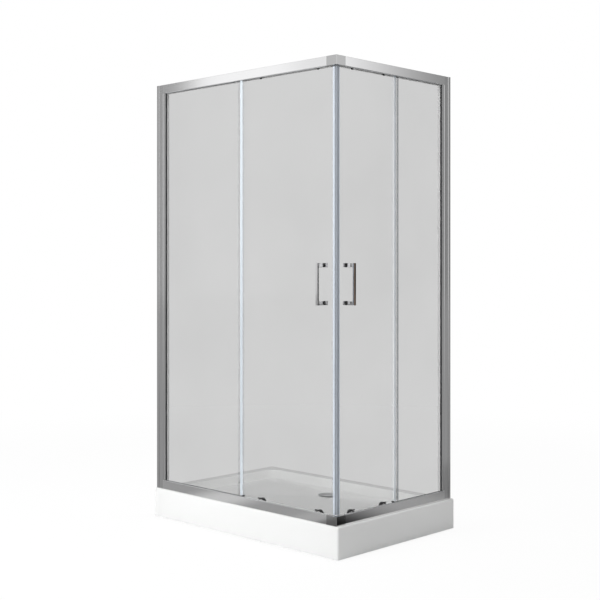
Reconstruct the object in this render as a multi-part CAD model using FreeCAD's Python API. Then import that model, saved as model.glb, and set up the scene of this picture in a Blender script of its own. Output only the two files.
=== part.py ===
import FreeCAD, Part
import os
from math import cos, pi, sin, sqrt

from FreeCAD import Vector

# Shower enclosure with two sliding doors that meet at the front corner of a rectangular tray.
# Millimetres, +Z up. The origin is on the floor under the middle of the whole, X runs along
# the long side and Y towards the wall behind. The long glazed side faces -Y, the short one +X.
# Shapes are drawn about the middle of the tray, and moved to the origin when they are written.
# Each glazed side is drawn once in its own frame: u from the front corner towards the wall,
# w from the frame's outer face into the cabin, z up.

# Tray
tray_length = 1200.0
tray_width = 800.0
tray_height = 140.0
tray_shell = 5.0
apron_ground_gap = 4.0
wall_flange_height = 60.0
apron_corner_radius = 9.0
apron_top_radius = 8.0
rim_at_walls = 55.0
rim_at_front = 70.0
rim_at_side = 75.0
basin_slope_run = 55.0
basin_slope_drop = 30.0
basin_corner_radius = 60.0
floor_corner_radius = 34.0
floor_fall = 10.0

# Waste
waste_x = 0.0
waste_from_wall = 210.0
waste_y = tray_width / 2 - waste_from_wall
waste_hole_radius = 34.0
waste_seat_radius = 46.0
waste_seat_depth = 2.0
waste_ring_width = 12.0
waste_wall = 3.5
waste_neck_height = 20.0
trap_radius = 42.0
trap_height = 70.0
trap_bore_wall = 3.0
outlet_radius = 25.0
outlet_length = 50.0
outlet_neck_radius = 24.0
outlet_neck_length = 6.0
outlet_height = 52.0
waste_seal_thickness = 3.0
strainer_wall = 2.5
strainer_depth = 42.0
strainer_rim = 1.5
strainer_rim_radius = 36.0
strainer_slots = 8
strainer_slot_width = 4.0
cover_radius = 47.0
cover_rise = 5.0
cover_thickness = 1.6
cover_lift = 4.0
cover_leg_radius = 2.5
cover_leg_circle = 31.0

# Feet and support board
board_length = 960.0
board_width = 500.0
board_low = 80.0
board_edge_gap = 1.0
board_waste_clearance = 18.0
foot_columns = 4
foot_spacing_x = 285.0
foot_spacing_y = 440.0
foot_rod_radius = 5.0
foot_rod_engagement = 11.0
foot_pad_radius = 24.0
foot_pad_height = 14.0
foot_pad_rim = 4.0
foot_socket_floor = 5.0
nut_height = 8.0
nut_across_flats = 17.0

# Frame
frame_height = 1960.0
frame_setback_front = 9.0
frame_setback_side = 17.0
rail_height = 40.0
rail_wall = 1.6
rail_edge_radius = 1.0
pocket_depth = 20.0
glass_seat = 2.0
track_leg_height = 14.0
track_lip_width = 10.6
screw_port_height = 10.0
screw_port_radius = 3.4
screw_port_bore = 1.8
block_arm = 56.0
block_proud = 0.8
block_corner_radius = 3.0
block_end_wall = 6.0
block_skin = 3.0
spigot_length = 22.0
fit_clearance = 0.3

# Wall channel and post
channel_depth = 16.0
channel_wall = 1.5
channel_end_gap = 2.4
post_reach = 45.0
post_lip = 15.0
post_lip_step = 1.2
post_screw_inset = 9.0
wall_screw_radius = 3.2
wall_screw_outer_span = 1600.0
wall_screw_inner_span = 540.0
post_screw_span = 850.0

# Glass and seals
glass = 5.0
outer_gasket = 5.4
inner_gasket = 2.0
gasket_height = 8.0
gasket_stand = 1.5
post_gasket_reach = 1.2
post_gasket_stand = 0.6
post_gasket_engagement = 10.0
post_glass_engagement = 13.0
door_plane_gap = 4.4
door_bottom_gap = 8.0
door_top_gap = 6.0
door_lead_edge = 31.0
door_overlap = 32.0
front_fixed_edge = 585.0
side_fixed_edge = 390.0
seal_wall = 1.4
seal_clip = 12.0
edge_seal_clip = 7.0
seal_nose = 8.0
seal_end_gap = 2.0
magnet_stand = 3.0
magnet_length = 17.0
magnet_gap = 0.3
fin_thickness = 1.2
seam_guide_height = 6.0
seam_guide_foot = 12.0

# Rollers
roller_lead = 128.0
front_roller_rear = 478.0
side_roller_rear = 338.0
wheel_offset = 5.0
wheel_width = 7.0
wheel_radius = 13.0
wheel_groove_depth = 1.6
wheel_recess_depth = 0.8
wheel_hub_radius = 5.5
wheel_rim = 2.2
track_thickness = 2.4
track_room = 3.4
track_gap = 0.3
lower_wheel_height = 28.0
upper_wheel_height = 21.0
axle_radius = 3.0
axle_running_gap = 0.03
axle_head = 1.5
axle_head_radius = 4.5
plate_thickness = 3.0
plate_half_width = 8.0
plate_drop = 26.0
plate_rise = 11.0
bolt_radius = 5.0
bolt_cap = 2.8
bolt_cap_radius = 9.0
glass_hole_gap = 0.3

# Lower roller housing and its release carrier
release_travel = 2.2
housing_wall = 3.5
housing_front = 1.6
housing_cut = 5.0
ear_reach = 12.0
ear_height = 14.0
ear_thickness = 3.0
ear_screw_radius = 2.5
ear_head = 2.4
ear_head_radius = 4.5
carrier_plate = 1.8
carrier_half_width = 6.0
carrier_below_axle = 7.0
carrier_above_axle = 11.6
guide_rib = 2.0
lever_height = 4.6
lever_root_height = 7.2
lever_reach = 28.0
lever_depth = 5.0

# Handle
handle_from_corner = 94.0
handle_above_tray = 1005.0
handle_length = 178.0
handle_width = 12.0
handle_thickness = 10.0
handle_projection = 41.0
handle_leg_height = 18.0
handle_edge_radius = 1.6
grommet_flange = 4.0
grommet_inset = 0.6
grommet_sleeve_radius = 5.7
handle_stud_radius = 3.0
handle_stud_gap = 0.15
handle_stud_depth = 9.0
knob_length = 15.0
knob_edge_radius = 1.2
handle_stop_gap = 7.0

# Buffers and screws
buffer_length = 20.0
buffer_gap = 0.5
buffer_height = 26.0
screw_radius = 1.7
screw_hole_gap = 0.3
screw_head_radius = 3.5
screw_head = 2.2
rail_screw_length = 20.0
post_screw_length = 6.0
cap_radius = 5.6
cap_wall = 1.2
cap_height = 3.6

# Places worked out from the sizes above
corner_x = tray_length / 2 - frame_setback_side
corner_y = -tray_width / 2 + frame_setback_front
frame_low = tray_height
frame_top = tray_height + frame_height
frame_mid = (frame_low + frame_top) / 2
opening_low = frame_low + rail_height
opening_top = frame_top - rail_height
fixed_w = (rail_wall + outer_gasket, rail_wall + outer_gasket + glass)
pocket_w = (fixed_w[1] + inner_gasket, fixed_w[1] + inner_gasket + rail_wall)
door_w = (pocket_w[1] + door_plane_gap, pocket_w[1] + door_plane_gap + glass)
wheel_w = (door_w[1] + wheel_offset, door_w[1] + wheel_offset + wheel_width)
wheel_mid = (wheel_w[0] + wheel_w[1]) / 2
rail_depth = wheel_w[1] + track_room + rail_wall
tread_radius = wheel_radius - wheel_groove_depth
lower_wheel_z = frame_low + lower_wheel_height
upper_wheel_z = opening_top + upper_wheel_height
door_z = (frame_low + door_bottom_gap, frame_top - door_top_gap)
handle_z = tray_height + handle_above_tray
floor_edge_z = tray_height - basin_slope_drop
waste_z = floor_edge_z - floor_fall
handle_reach = handle_projection - door_w[0]
to_origin = Vector((frame_setback_side - handle_reach) / 2, (handle_reach - frame_setback_front) / 2, 0)


class Side:
    """One glazed side of the frame, with the door that slides on it."""

    def __init__(self, name, length, fixed_edge, roller_rear, mirrored):
        self.name = name
        self.length = length
        self.fixed_edge = fixed_edge
        self.door_edge = fixed_edge + door_overlap
        self.rollers = {"lead": roller_lead, "rear": roller_rear}
        self.mirrored = mirrored
        handle_side = handle_from_corner + handle_width / 2
        self.travel = fixed_edge - seal_nose - handle_side - handle_stop_gap

    def place(self, shape):
        """Move a shape from the side's own frame into the part's frame."""
        if self.mirrored:
            placed = shape.mirror(Vector(0, 0, 0), Vector(1, 0, 0))
        else:
            placed = shape.copy()
            placed.rotate(Vector(0, 0, 0), Vector(0, 0, 1), 90)
        placed.translate(Vector(corner_x, corner_y, 0))
        return placed


front = Side("front", tray_length - frame_setback_side, front_fixed_edge, front_roller_rear, True)
side = Side("side", tray_width - frame_setback_front, side_fixed_edge, side_roller_rear, False)
sides = (front, side)


# Shapes
def slab(u, w, z):
    """A box between a low and a high value on each axis."""
    return Part.makeBox(u[1] - u[0], w[1] - w[0], z[1] - z[0], Vector(u[0], w[0], z[0]))


def post(radius, u, w, z):
    """An upright cylinder."""
    return Part.makeCylinder(radius, z[1] - z[0], Vector(u, w, z[0]))


def pin(radius, u, w, z):
    """A cylinder along w."""
    return Part.makeCylinder(radius, w[1] - w[0], Vector(u, w[0], z), Vector(0, 1, 0))


def bar(radius, u, w, z):
    """A cylinder along u."""
    return Part.makeCylinder(radius, u[1] - u[0], Vector(u[0], w, z), Vector(1, 0, 0))


def upright(points, z):
    """A section of (u, w) points, drawn upwards."""
    corners = [Vector(u, w, z[0]) for u, w in points]
    face = Part.Face(Part.makePolygon(corners + corners[:1]))
    return face.extrude(Vector(0, 0, z[1] - z[0]))


def turned(points, u, z):
    """A section of (radius, w) points, turned about the line along w through (u, z)."""
    corners = [Vector(u + r, w, z) for r, w in points]
    face = Part.Face(Part.makePolygon(corners + corners[:1]))
    return face.revolve(Vector(u, 0, z), Vector(0, 1, 0), 360)


def spun(points, x, y):
    """A section of (radius, z) points, turned about the upright line through (x, y)."""
    corners = [Vector(x + r, y, z) for r, z in points]
    face = Part.Face(Part.makePolygon(corners + corners[:1]))
    return face.revolve(Vector(x, y, 0), Vector(0, 0, 1), 360)


def joined(shapes):
    """One solid from shapes that touch or overlap."""
    return shapes[0].multiFuse(shapes[1:]).removeSplitter()


def softened(shape, radius, wanted):
    """The shape with a fillet on each edge that the test picks."""
    edges = [edge for edge in shape.Edges if wanted(edge)]
    return shape.makeFillet(radius, edges)


def runs_along(edge, axis):
    """True for a straight edge along one axis, 0 for u or x, 1 for w or y and 2 for z."""
    ends = [vertex.Point for vertex in edge.Vertexes]
    if len(ends) < 2 or edge.Curve.TypeId != "Part::GeomLine":
        return False
    step = ends[1] - ends[0]
    return abs(abs(step[axis]) - step.Length) < 1e-6


def write(node, shapes):
    """Write one node, whose solids stay separate."""
    whole = shapes[0] if len(shapes) == 1 else Part.makeCompound(shapes)
    whole.translate(to_origin)
    whole.exportStep("parts/" + node + ".step")
    print(node, len(whole.Solids), round(whole.Volume / 1000, 2), whole.isValid())


# Tray
def rounded_rectangle(x, y, radius, z):
    """A closed outline with round corners, starting on the same side each time."""
    outline = []
    centres = ((x[1] - radius, y[1] - radius), (x[0] + radius, y[1] - radius),
               (x[0] + radius, y[0] + radius), (x[1] - radius, y[0] + radius))
    points = []
    for quarter, (cx, cy) in enumerate(centres):
        turn = quarter * pi / 2
        for share in (0, 0.5, 1):
            angle = turn + share * pi / 2
            points.append(Vector(cx + radius * cos(angle), cy + radius * sin(angle), z))
    for quarter in range(4):
        start, middle, end = points[3 * quarter:3 * quarter + 3]
        following = points[(3 * quarter + 3) % len(points)]
        outline.append(Part.Arc(start, middle, end).toShape())
        outline.append(Part.LineSegment(end, following).toShape())
    return Part.Wire(outline)


def basin(grown):
    """The hollow of the tray, grown on all sides by the given amount."""
    x = (-tray_length / 2 + rim_at_walls - grown, tray_length / 2 - rim_at_side + grown)
    y = (-tray_width / 2 + rim_at_front - grown, tray_width / 2 - rim_at_walls + grown)
    inner_x = (x[0] + basin_slope_run, x[1] - basin_slope_run)
    inner_y = (y[0] + basin_slope_run, y[1] - basin_slope_run)
    waste_square = waste_seat_radius + grown
    centre_x = (waste_x - waste_square, waste_x + waste_square)
    centre_y = (waste_y - waste_square, waste_y + waste_square)
    rim = rounded_rectangle(x, y, basin_corner_radius + grown, tray_height - grown)
    edge = rounded_rectangle(inner_x, inner_y, floor_corner_radius + grown, floor_edge_z - grown)
    centre = rounded_rectangle(centre_x, centre_y, waste_square - 1, waste_z - grown)
    slope = Part.makeLoft([edge, rim], True, True)
    floor = Part.makeLoft([centre, edge], True, True)
    above = Part.Face(rim).extrude(Vector(0, 0, tray_height))
    return joined([floor, slope, above])


def tray():
    """The acrylic shell: rim, sloped basin, two aprons and short flanges at the walls."""
    half_x = tray_length / 2
    half_y = tray_width / 2
    outer = slab((-half_x, half_x), (-half_y, half_y), (apron_ground_gap, tray_height))
    outer = softened(outer, apron_corner_radius, lambda edge: runs_along(edge, 2)
                     and edge.CenterOfMass.x > 0 and edge.CenterOfMass.y < 0)
    outer = softened(outer, apron_top_radius, lambda edge: edge.BoundBox.ZMin > tray_height - 1
                     and (edge.BoundBox.XMin > half_x - 2 * apron_corner_radius
                          or edge.BoundBox.YMax < -half_y + 2 * apron_corner_radius))
    inside = slab((-half_x + tray_shell, half_x - tray_shell),
                  (-half_y + tray_shell, half_y - tray_shell), (0, tray_height - tray_shell))
    flange_low = tray_height - wall_flange_height
    at_left_wall = slab((-half_x - 1, -half_x + 2 * tray_shell),
                        (-half_y + tray_shell, half_y + 1), (0, flange_low))
    at_rear_wall = slab((-half_x - 1, half_x - tray_shell),
                        (half_y - 2 * tray_shell, half_y + 1), (0, flange_low))
    hollow = joined([inside, at_left_wall, at_rear_wall]).cut(basin(tray_shell))
    seat = post(waste_seat_radius, waste_x, waste_y, (waste_z - waste_seat_depth, tray_height))
    hole = post(waste_hole_radius, waste_x, waste_y, (0, tray_height))
    return outer.cut(basin(0)).cut(hollow).cut(seat).cut(hole)


def foot_places():
    """Where the feet stand, in two rows."""
    first = -foot_spacing_x * (foot_columns - 1) / 2
    return [(first + foot_spacing_x * column, row * foot_spacing_y / 2)
            for column in range(foot_columns) for row in (-1, 1)]


def support_board():
    """The board bonded under the floor, with holes for the trap and the feet."""
    board_top = floor_edge_z - tray_shell - board_edge_gap
    board = slab((-board_length / 2, board_length / 2), (-board_width / 2, board_width / 2),
                 (board_low, board_top)).cut(basin(tray_shell))
    reach = trap_radius + waste_ring_width / 2 + board_waste_clearance
    board = board.cut(post(reach, waste_x, waste_y, (0, tray_height)))
    for x, y in foot_places():
        rod_hole = foot_rod_radius + fit_clearance
        top = board_low + foot_rod_engagement + fit_clearance
        board = board.cut(post(rod_hole, x, y, (0, top)))
    return board


def hexagon(x, y, z):
    """A nut's outside."""
    corner = nut_across_flats / sqrt(3)
    points = [(x + corner * cos(k * pi / 3), y + corner * sin(k * pi / 3)) for k in range(6)]
    return upright(points, z)


def feet():
    """Threaded rods, their nuts and the pads that they stand in."""
    rods = []
    nuts = []
    pads = []
    hole = foot_rod_radius + fit_clearance
    rod_z = (foot_socket_floor, board_low + foot_rod_engagement)
    nut_levels = ((board_low - nut_height, board_low), (foot_pad_height, foot_pad_height + nut_height))
    pad_profile = [(0, 0), (foot_pad_radius, 0), (foot_pad_radius, foot_pad_rim),
                   (foot_pad_radius / 2, foot_pad_height), (hole, foot_pad_height),
                   (hole, foot_socket_floor), (0, foot_socket_floor)]
    for x, y in foot_places():
        rods.append(post(foot_rod_radius, x, y, rod_z))
        pads.append(spun(pad_profile, x, y))
        for level in nut_levels:
            bore = post(hole, x, y, (0, tray_height))
            nuts.append(hexagon(x, y, level).cut(bore))
    return rods, nuts, pads


# Waste
def waste_flange():
    """The ring in the floor, with the collar that the trap screws to."""
    collar = waste_hole_radius - fit_clearance
    bore = collar - waste_wall
    seat = waste_z - waste_seat_depth
    profile = [(bore, waste_z), (waste_seat_radius - fit_clearance, waste_z),
               (waste_seat_radius - fit_clearance, seat), (collar, seat),
               (collar, seat - waste_neck_height), (bore, seat - waste_neck_height)]
    return spun(profile, waste_x, waste_y)


def waste_levels():
    """Top of the seal under the floor, and top and bottom of the trap."""
    seal_top = waste_z - tray_shell
    trap_top = seal_top - waste_seal_thickness
    return seal_top, trap_top, trap_top - trap_height


def waste_seal():
    """The washer between the floor and the trap."""
    seal_top, trap_top, _ = waste_levels()
    outer = trap_radius + waste_ring_width / 4
    profile = [(waste_hole_radius, trap_top), (outer, trap_top), (outer, seal_top),
               (waste_hole_radius, seal_top)]
    return spun(profile, waste_x, waste_y)


def waste_trap():
    """The cup under the floor, open at its neck and at its outlet spigot."""
    _, top, low = waste_levels()
    ring = trap_radius + waste_ring_width / 2
    ring_low = top - 2 * waste_wall
    inner = trap_radius - waste_wall
    profile = [(0, low), (trap_radius, low), (trap_radius, ring_low), (ring, ring_low),
               (ring, top), (waste_hole_radius, top), (waste_hole_radius, ring_low),
               (inner, ring_low), (inner, low + waste_wall), (0, low + waste_wall)]
    cup = spun(profile, waste_x, waste_y)
    start = waste_y + trap_radius + outlet_neck_length
    end = start + outlet_length
    neck = pin(outlet_neck_radius, waste_x, (waste_y + inner, start), outlet_height)
    spigot = pin(outlet_radius, waste_x, (start, end), outlet_height)
    cavity = post(inner, waste_x, waste_y, (low + waste_wall, ring_low))
    bore = pin(outlet_radius - trap_bore_wall, waste_x, (waste_y, end + 1), outlet_height)
    return joined([cup, neck.cut(cavity), spigot]).cut(bore)


def hair_strainer():
    """The lift-out cup with slots that hangs in the waste."""
    low = waste_z + fit_clearance
    tube = waste_hole_radius - fit_clearance - waste_wall - 2 * fit_clearance
    bottom = low - strainer_depth
    profile = [(0, bottom), (tube, bottom), (tube, low), (strainer_rim_radius, low),
               (strainer_rim_radius, low + strainer_rim), (tube - strainer_wall, low + strainer_rim),
               (tube - strainer_wall, bottom + strainer_wall), (0, bottom + strainer_wall)]
    cup = spun(profile, waste_x, waste_y)
    slot_z = (bottom + 2 * strainer_wall, low - 2 * strainer_wall)
    slot = slab((0, strainer_rim_radius), (-strainer_slot_width / 2, strainer_slot_width / 2), slot_z)
    for k in range(strainer_slots):
        cutter = slot.copy()
        cutter.rotate(Vector(0, 0, 0), Vector(0, 0, 1), 360 * k / strainer_slots)
        cutter.translate(Vector(waste_x, waste_y, 0))
        cup = cup.cut(cutter)
    return cup


def waste_cover():
    """The round cover with its shallow dome and the legs that carry it."""
    rim_top = waste_z + fit_clearance + strainer_rim
    low = rim_top + cover_lift
    dome_radius = (cover_radius ** 2 + cover_rise ** 2) / (2 * cover_rise)
    centre = Vector(waste_x, waste_y, low + cover_rise - dome_radius)
    ball = Part.makeSphere(dome_radius, centre)
    inner_ball = Part.makeSphere(dome_radius - cover_thickness, centre)
    disc = post(cover_radius, waste_x, waste_y, (low, low + 2 * cover_rise))
    shell = disc.common(ball).cut(inner_ball)
    pieces = [shell]
    for k in range(3):
        angle = 2 * pi * k / 3
        x = waste_x + cover_leg_circle * cos(angle)
        y = waste_y + cover_leg_circle * sin(angle)
        leg = post(cover_leg_radius, x, y, (rim_top, low + cover_rise)).common(ball)
        pieces.append(leg)
    return joined(pieces)


# Frame profiles
def bottom_rail(s):
    """The sill: face, glazing pocket, roller track and inner upstand."""
    u = (block_arm, s.length - post_reach)
    low = frame_low
    rib_top = lower_wheel_z - tread_radius - track_gap
    walls = [slab(u, (0, rail_depth), (low, low + rail_wall)),
             slab(u, (0, rail_wall), (low, low + rail_height)),
             slab(u, pocket_w, (low, low + rail_height)),
             slab(u, (0, pocket_w[1]), (low + pocket_depth - rail_wall, low + pocket_depth)),
             slab(u, (wheel_mid - track_thickness / 2, wheel_mid + track_thickness / 2), (low, rib_top)),
             slab(u, (rail_depth - rail_wall, rail_depth), (low, low + track_leg_height))]
    port_z = low + screw_port_height
    return finished_rail(u, walls, port_z, (low, port_z))


def top_rail(s):
    """The head: face, glazing pocket and a lip with the track that carries the door."""
    u = (block_arm, s.length - post_reach)
    low = opening_top
    top = frame_top
    rib_top = upper_wheel_z - tread_radius - track_gap
    lip_w = (rail_depth - track_lip_width, rail_depth)
    pocket_top = low + pocket_depth
    walls = [slab(u, (0, rail_depth), (top - rail_wall, top)),
             slab(u, (0, rail_wall), (low, top)),
             slab(u, pocket_w, (low, top)),
             slab(u, (0, pocket_w[1]), (pocket_top, pocket_top + rail_wall)),
             slab(u, (rail_depth - rail_wall, rail_depth), (low, top)),
             slab(u, lip_w, (low, low + rail_wall)),
             slab(u, (wheel_mid - track_thickness / 2, wheel_mid + track_thickness / 2), (low, rib_top))]
    port_z = top - screw_port_height
    return finished_rail(u, walls, port_z, (port_z, top))


def finished_rail(u, walls, port_z, web_z):
    """Join a rail's walls, add the screw port in its hollow and round the outer face's edges."""
    port_w = port_centre()
    port = bar(screw_port_radius, u, port_w, port_z)
    web = slab(u, (port_w - rail_wall / 2, port_w + rail_wall / 2), web_z)
    rail = joined(walls + [port, web])
    rail = softened(rail, rail_edge_radius, lambda edge: runs_along(edge, 0)
                    and edge.BoundBox.YMax < 1e-6)
    return rail.cut(bar(screw_port_bore, u, port_w, port_z))


def port_centre():
    """The middle of the hollow behind a rail's face."""
    return (rail_wall + pocket_w[0]) / 2


def wall_distance(s, near, far):
    """A span on u, given as distances from the wall."""
    return (s.length - far, s.length - near)


def wall_screw_heights():
    """The heights of the holes that take the wall screws."""
    spans = (wall_screw_outer_span, wall_screw_inner_span)
    return [frame_mid + sign * span / 2 for span in spans for sign in (-1, 1)]


def post_screw_heights():
    """The heights of the screws that hold the post in its channel."""
    return [frame_mid + step * post_screw_span for step in (-1, 0, 1)]


def wall_channel(s):
    """The channel screwed to the wall."""
    z = (frame_low, frame_top)
    back = wall_distance(s, 0, channel_wall)
    legs = wall_distance(s, 0, channel_depth)
    channel = joined([slab(back, (0, rail_depth), z),
                      slab(legs, (0, channel_wall), z),
                      slab(legs, (rail_depth - channel_wall, rail_depth), z)])
    channel = softened(channel, rail_edge_radius, lambda edge: runs_along(edge, 2)
                       and edge.BoundBox.YMax < 1e-6)
    for height in wall_screw_heights():
        span = (s.length - 2 * channel_wall, s.length + 1)
        channel = channel.cut(bar(wall_screw_radius, span, rail_depth / 2, height))
    return channel.cut(post_screw_holes(s))


def post_screw_holes(s):
    """The holes through channel and post."""
    u = s.length - post_screw_inset
    w = (rail_depth - 4 * channel_wall, rail_depth + 1)
    radius = screw_radius + screw_hole_gap
    return Part.makeCompound([pin(radius, u, w, height) for height in post_screw_heights()])


def post_walls():
    """The outer and inner faces of the post, which slides in the channel."""
    return channel_wall + fit_clearance, rail_depth - channel_wall - fit_clearance


def wall_post(s):
    """The adjustable post, with the lips that hold the fixed glass."""
    z = (frame_low, frame_top)
    lip_z = (opening_low + fit_clearance, opening_top - fit_clearance)
    outer, inner = post_walls()
    box = wall_distance(s, channel_wall + channel_end_gap, post_reach)
    end = wall_distance(s, post_reach - rail_wall, post_reach)
    lip = wall_distance(s, post_reach - rail_wall, post_reach + post_lip)
    face = outer + post_lip_step
    wall = joined([slab(box, (outer, outer + rail_wall), z),
                   slab(box, (inner - rail_wall, inner), z),
                   slab(end, (outer, inner), z),
                   slab(lip, (face, face + rail_wall), lip_z),
                   slab(lip, (pocket_w[0], pocket_w[1]), lip_z)])
    wall = softened(wall, rail_edge_radius, lambda edge: runs_along(edge, 2)
                    and abs(edge.CenterOfMass.y - outer) < 1e-6
                    and abs(edge.CenterOfMass.x - end[0]) < 1e-6)
    wall = wall.cut(post_screw_holes(s))
    for height in (frame_low + screw_port_height, frame_top - screw_port_height):
        hole = screw_radius + screw_hole_gap
        wall = wall.cut(bar(hole, (end[0] - 1, end[1] + 1), port_centre(), height))
    return wall


def corner_block(low, inner_leg, plate_z, port_z, spigot_z):
    """An L-shaped block that joins two rails, drawn in the frame of the front side."""
    z = (low, low + rail_height)
    arm = (-block_proud, block_arm)
    across = (-block_proud, pocket_w[1])
    solid = joined([slab(arm, across, z), slab(across, arm, z)])
    solid = softened(solid, block_corner_radius, lambda edge: runs_along(edge, 2)
                     and edge.CenterOfMass.x < 0 and edge.CenterOfMass.y < 0)
    hollow_u = (pocket_w[1] + block_end_wall, block_arm - block_end_wall)
    hollow_w = (block_skin, pocket_w[1] + 1)
    hollow_z = (low + block_end_wall, low + rail_height - block_end_wall)
    solid = solid.cut(slab(hollow_u, hollow_w, hollow_z)).cut(slab(hollow_w, hollow_u, hollow_z))
    leg_w = (rail_depth - rail_wall, rail_depth)
    leg_u = (rail_depth - rail_wall, block_arm)
    pieces = [solid, slab((0, block_arm), (0, rail_depth), plate_z),
              slab((0, rail_depth), (0, block_arm), plate_z),
              slab(leg_u, leg_w, inner_leg), slab(leg_w, leg_u, inner_leg)]
    inside = (rail_wall + fit_clearance, pocket_w[0] - fit_clearance)
    reach = (block_arm - 1, block_arm + spigot_length)
    port_gap = screw_port_radius + fit_clearance
    port_w = (port_centre() - port_gap, port_centre() + port_gap)
    pieces.append(slab(reach, inside, spigot_z).cut(slab(reach, port_w, port_z)))
    pieces.append(slab(inside, reach, spigot_z).cut(slab(port_w, reach, port_z)))
    return joined(pieces)


def bottom_block():
    """The corner block on the tray."""
    low = frame_low
    port_top = low + screw_port_height + screw_port_radius + fit_clearance
    spigot_z = (low + rail_wall + fit_clearance, low + pocket_depth - rail_wall - fit_clearance)
    return corner_block(low, (low, low + track_leg_height), (low, low + rail_wall),
                        (low, port_top), spigot_z)


def top_block():
    """The corner block at the head."""
    top = frame_top
    port_low = top - screw_port_height - screw_port_radius - fit_clearance
    spigot_low = opening_top + pocket_depth + rail_wall + fit_clearance
    return corner_block(opening_top, (opening_top, top), (top - rail_wall, top),
                        (port_low, top), (spigot_low, top - rail_wall - fit_clearance))


# Fixed glass and its seals
def fixed_glass(s):
    """The pane between the wall post and the door."""
    u = (s.fixed_edge, s.length - post_reach - post_lip + post_glass_engagement)
    low = frame_low + pocket_depth + glass_seat
    top = frame_top - rail_height + pocket_depth - glass_seat
    return slab(u, fixed_w, (low, top))


def glazing_gaskets(s):
    """Strips in the rails' pockets and beside the post."""
    far = s.length - post_reach - post_lip - fit_clearance
    whole = (block_arm, far)
    pane = (s.fixed_edge + edge_seal_clip, far)
    low_z = (opening_low - gasket_height, opening_low + gasket_stand)
    top_z = (opening_top - gasket_stand, opening_top + gasket_height)
    outer_w = (rail_wall, fixed_w[0])
    inner_w = (fixed_w[1], pocket_w[0])
    strips = [slab(whole, outer_w, low_z), slab(whole, outer_w, top_z),
              slab(pane, inner_w, low_z), slab(pane, inner_w, top_z)]
    outer, _ = post_walls()
    lip_inside = outer + post_lip_step + rail_wall
    lip_end = post_reach + post_lip
    inner_span = (lip_end - post_gasket_engagement, lip_end + post_gasket_reach)
    face = lip_inside - post_gasket_stand
    z = (opening_low + gasket_stand + fit_clearance, opening_top - gasket_stand - fit_clearance)
    near = s.length - inner_span[0]
    lip = s.length - lip_end - fit_clearance
    bead = s.length - inner_span[1]
    strips.append(upright([(near, fixed_w[0]), (near, lip_inside), (lip, lip_inside), (lip, face),
                           (bead + post_gasket_stand, face), (bead, fixed_w[0])], z))
    strips.append(slab((bead + post_gasket_stand, near), (fixed_w[1], pocket_w[0]), z))
    return strips


def fixed_edge_seal(s):
    """The clear strip clipped over the free edge of the fixed glass, with a fin to the door."""
    edge = s.fixed_edge
    low, high = fixed_w
    fin = door_w[0] - fit_clearance
    outer = low - seal_wall
    inner = high + seal_wall
    points = [(edge - seal_nose, outer), (edge + edge_seal_clip, outer), (edge + edge_seal_clip, low),
              (edge, low), (edge, high), (edge + edge_seal_clip, high), (edge + edge_seal_clip, inner),
              (edge - seal_nose / 2, inner), (edge - seal_nose / 2, fin),
              (edge - seal_nose / 2 - fin_thickness, fin), (edge - seal_nose / 2 - fin_thickness, inner),
              (edge - seal_nose, high)]
    bottom = opening_low + seam_guide_height + fit_clearance
    return upright(points, (bottom, opening_top - seal_end_gap))


def seam_guide(s):
    """The block that guides the door at the foot of the fixed glass."""
    u = (s.fixed_edge - seal_nose, s.fixed_edge - fit_clearance)
    across = (fixed_w[0] + fit_clearance, door_w[0] - fit_clearance)
    head = slab(u, across, (opening_low, opening_low + seam_guide_height))
    foot_w = (across[0], pocket_w[0] - fit_clearance)
    foot = slab(u, foot_w, (opening_low - seam_guide_foot, opening_low))
    return joined([head, foot])


# Doors
def glass_holes(s):
    """The holes in the door glass for rollers and handle."""
    w = (door_w[0] - 1, door_w[1] + 1)
    holes = []
    for u in s.rollers.values():
        holes.append(pin(bolt_radius + glass_hole_gap, u, w, upper_wheel_z))
        for ear in ear_places(u):
            holes.append(pin(ear_screw_radius + glass_hole_gap, ear, w, ear_screw_z()))
    for height in handle_heights():
        holes.append(pin(grommet_sleeve_radius + glass_hole_gap, handle_from_corner, w, height))
    return Part.makeCompound(holes)


def door_glass(s):
    """The sliding pane."""
    return slab((door_lead_edge, s.door_edge), door_w, door_z).cut(glass_holes(s))


def seal_span():
    """How high the seals of the doors reach, between the rails."""
    return (opening_low + seal_end_gap, opening_top - seal_end_gap)


def magnet_seal():
    """The leading seal, whose magnet face lies at 45 degrees and meets the other door's."""
    off = magnet_gap / sqrt(2)
    near = door_w[0] - magnet_stand
    far = door_w[1] + magnet_stand
    outer = door_w[0] - seal_wall
    inner = door_w[1] + seal_wall
    nose = near + magnet_length
    clip = door_lead_edge + seal_clip
    points = [(near + off, near), (far + off, far), (nose, far), (nose + magnet_stand, inner),
              (clip, inner), (clip, door_w[1]), (door_lead_edge, door_w[1]),
              (door_lead_edge, door_w[0]), (clip, door_w[0]), (clip, outer),
              (nose + magnet_stand, outer), (nose, near)]
    return upright(points, seal_span())


def trailing_seal(s):
    """The strip on the trailing edge, with a fin towards the fixed glass."""
    edge = s.door_edge
    outer = door_w[0] - seal_wall
    inner = door_w[1] + seal_wall
    tip = fixed_w[1] + fit_clearance
    points = [(edge - edge_seal_clip, outer), (edge - seal_wall, outer), (edge - seal_wall, tip),
              (edge - seal_wall + fin_thickness, tip), (edge - seal_wall + fin_thickness, outer),
              (edge + seal_wall, outer), (edge + seal_wall, inner), (edge - edge_seal_clip, inner),
              (edge - edge_seal_clip, door_w[1]), (edge, door_w[1]), (edge, door_w[0]),
              (edge - edge_seal_clip, door_w[0])]
    return upright(points, seal_span())


def handle_heights():
    """The heights of the two legs of the handle."""
    reach = (handle_length - handle_leg_height) / 2
    return handle_z - reach, handle_z + reach


def handle_faces():
    """The handle's outer face, the back of its bar, and where its legs end."""
    outer = door_w[0] - handle_projection
    return outer, outer + handle_thickness, door_w[0] - grommet_flange


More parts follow.
